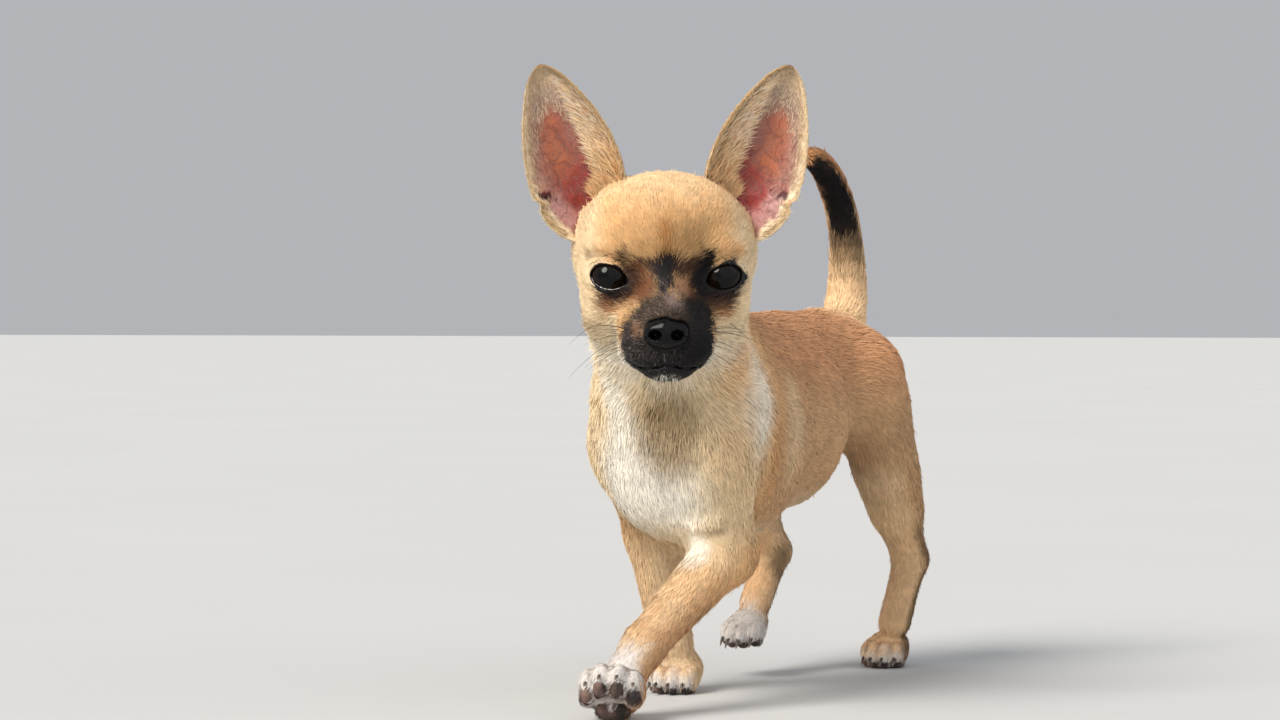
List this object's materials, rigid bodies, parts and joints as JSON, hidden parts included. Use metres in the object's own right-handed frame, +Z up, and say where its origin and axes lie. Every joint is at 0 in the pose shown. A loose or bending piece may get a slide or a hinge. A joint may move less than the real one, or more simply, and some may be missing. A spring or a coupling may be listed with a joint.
{
  "type": "chihuahua puppy",
  "caption": "Still, life-size model of a smooth-coated chihuahua puppy in mid-trot, head turned to its left, one foreleg reaching forward, tail raised.",
  "frame": {"origin": "on the floor, under the middle of the box that holds the whole puppy seen from above", "axes": "+Z up; the body faces -Y; +X is the puppy's own left"},
  "size_m": [0.0992, 0.248, 0.2416],
  "materials": {
    "coat_sand": "short dense fur, matte, golden sand with paler tips",
    "coat_fawn": "short dense fur, matte, reddish fawn with a few darker hairs along the back",
    "coat_cream": "short soft fur, matte, cream white",
    "coat_brown": "short fur, matte, brown fawn with a dark stripe along the top of the tail",
    "coat_mask": "very short fur, matte, brown black",
    "nose_leather": "pebbled bare skin, black, slightly wet",
    "eyelid_skin": "bare lid rim, black brown, moist",
    "eye_gloss": "wet dark brown eye, mirror smooth"
  },
  "bodies": {
    "root": {"jaw": "coat_mask", "muzzle": "coat_mask", "head": "coat_sand", "neck": "coat_cream", "tail": "coat_brown", "paw_fore_left": "coat_cream", "forearm_left": "coat_sand", "upper_arm_left": "coat_fawn", "paw_fore_right": "coat_cream", "forearm_right": "coat_sand", "upper_arm_right": "coat_fawn", "paw_hind_left": "coat_cream", "hock_left": "coat_sand", "shank_left": "coat_fawn", "thigh_left": "coat_fawn", "paw_hind_right": "coat_cream", "hock_right": "coat_sand", "shank_right": "coat_fawn", "thigh_right": "coat_fawn", "torso": "coat_fawn", "eye_left": "eye_gloss", "eyelid_left": "eyelid_skin", "ear_left": "coat_sand", "eye_right": "eye_gloss", "eyelid_right": "eyelid_skin", "ear_right": "coat_sand", "nose": "nose_leather"}
  },
  "joints": []
}
